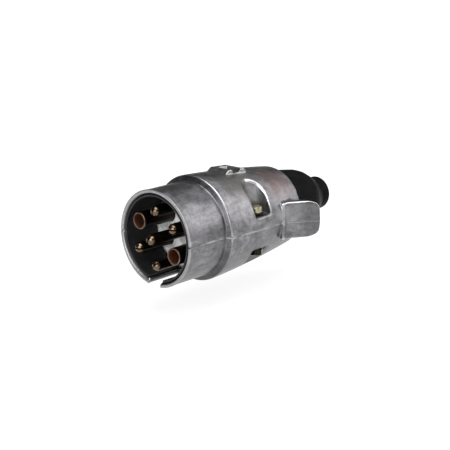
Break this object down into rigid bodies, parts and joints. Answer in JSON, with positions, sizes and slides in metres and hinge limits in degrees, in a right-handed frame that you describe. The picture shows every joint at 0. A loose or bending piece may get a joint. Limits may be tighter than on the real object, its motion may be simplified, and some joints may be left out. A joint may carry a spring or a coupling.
{
  "type": "trailer wiring plug",
  "caption": "Die-cast trailer wiring plug: round shroud around pins and sleeves, two-part screwed barrel with finger wings and lid lug, and a rubber cable boot.",
  "frame": {"origin": "centre of the shroud's front rim, on the plug's axis", "axes": "+Y along the plug's axis from the front rim to the cable end, +Z towards the lid lug, +X to the right seen from the front"},
  "size_m": [0.061, 0.1178, 0.0486],
  "materials": {
    "cast_aluminium": "die-cast, tumbled",
    "brass": "turned, slightly tarnished",
    "black_plastic": "moulded, satin",
    "light_plastic": "moulded, satin",
    "black_rubber": "smooth moulded rubber",
    "zinc_steel": "zinc plated"
  },
  "bodies": {
    "lower_assembly": {"lower_shell": "cast_aluminium", "housing_nut_right": "brass", "housing_nut_left": "brass", "contact_carrier": "black_plastic", "face_disc": "light_plastic", "pin_top": "brass", "pin_upper_right": "brass", "pin_bottom": "brass", "pin_lower_left": "brass", "pin_centre": "brass", "sleeve_upper_left": "brass", "sleeve_lower_right": "brass", "cable_boot": "black_rubber"},
    "upper_shell": {"upper_shell": "cast_aluminium", "housing_washer_right": "brass", "housing_washer_left": "brass"},
    "housing_screw_right": {"housing_screw_right": "brass"},
    "housing_screw_left": {"housing_screw_left": "brass"},
    "terminal_screw_top": {"terminal_screw_top": "zinc_steel"},
    "terminal_screw_upper_right": {"terminal_screw_upper_right": "zinc_steel"},
    "terminal_screw_bottom": {"terminal_screw_bottom": "zinc_steel"},
    "terminal_screw_lower_left": {"terminal_screw_lower_left": "zinc_steel"},
    "terminal_screw_upper_left": {"terminal_screw_upper_left": "zinc_steel"},
    "terminal_screw_lower_right": {"terminal_screw_lower_right": "zinc_steel"},
    "terminal_screw_centre": {"terminal_screw_centre": "zinc_steel"},
    "cord_clamp": {"cord_clamp": "zinc_steel"},
    "clamp_screw_right": {"clamp_screw_right": "zinc_steel"},
    "clamp_screw_left": {"clamp_screw_left": "zinc_steel"}
  },
  "joints": [
    {"name": "upper_shell_lift", "type": "slide", "parent": "lower_assembly", "child": "upper_shell", "axis": [0, 0, 1], "range_m": [0, 0.04]},
    {"name": "housing_screw_right_turn", "type": "hinge", "parent": "upper_shell", "child": "housing_screw_right", "pos_m": [0.0172, 0.0469, 0.0058], "axis": [0, 0, 1], "continuous": true},
    {"name": "housing_screw_left_turn", "type": "hinge", "parent": "upper_shell", "child": "housing_screw_left", "pos_m": [-0.0172, 0.0469, 0.0058], "axis": [0, 0, 1], "continuous": true},
    {"name": "terminal_screw_top_turn", "type": "hinge", "parent": "lower_assembly", "child": "terminal_screw_top", "pos_m": [0, 0.0345, 0.0159], "axis": [0, 0, 1], "continuous": true},
    {"name": "terminal_screw_upper_right_turn", "type": "hinge", "parent": "lower_assembly", "child": "terminal_screw_upper_right", "pos_m": [0.01377, 0.0345, 0.00795], "axis": [0.866, 0, 0.5], "continuous": true},
    {"name": "terminal_screw_bottom_turn", "type": "hinge", "parent": "lower_assembly", "child": "terminal_screw_bottom", "pos_m": [0, 0.0345, -0.0159], "axis": [0, 0, -1], "continuous": true},
    {"name": "terminal_screw_lower_left_turn", "type": "hinge", "parent": "lower_assembly", "child": "terminal_screw_lower_left", "pos_m": [-0.01377, 0.0345, -0.00795], "axis": [-0.866, 0, -0.5], "continuous": true},
    {"name": "terminal_screw_upper_left_turn", "type": "hinge", "parent": "lower_assembly", "child": "terminal_screw_upper_left", "pos_m": [-0.01429, 0.0345, 0.00825], "axis": [-0.866, 0, 0.5], "continuous": true},
    {"name": "terminal_screw_lower_right_turn", "type": "hinge", "parent": "lower_assembly", "child": "terminal_screw_lower_right", "pos_m": [0.01429, 0.0345, -0.00825], "axis": [0.866, 0, -0.5], "continuous": true},
    {"name": "terminal_screw_centre_turn", "type": "hinge", "parent": "lower_assembly", "child": "terminal_screw_centre", "pos_m": [0, 0.0455, 0.0036], "axis": [0, 0, 1], "continuous": true},
    {"name": "cord_clamp_lift", "type": "slide", "parent": "lower_assembly", "child": "cord_clamp", "axis": [0, 0, 1], "range_m": [0, 0.002]},
    {"name": "clamp_screw_right_turn", "type": "hinge", "parent": "cord_clamp", "child": "clamp_screw_right", "pos_m": [0.0093, 0.0635, -0.0004], "axis": [0, 0, 1], "continuous": true},
    {"name": "clamp_screw_left_turn", "type": "hinge", "parent": "cord_clamp", "child": "clamp_screw_left", "pos_m": [-0.0093, 0.0635, -0.0004], "axis": [0, 0, 1], "continuous": true}
  ]
}
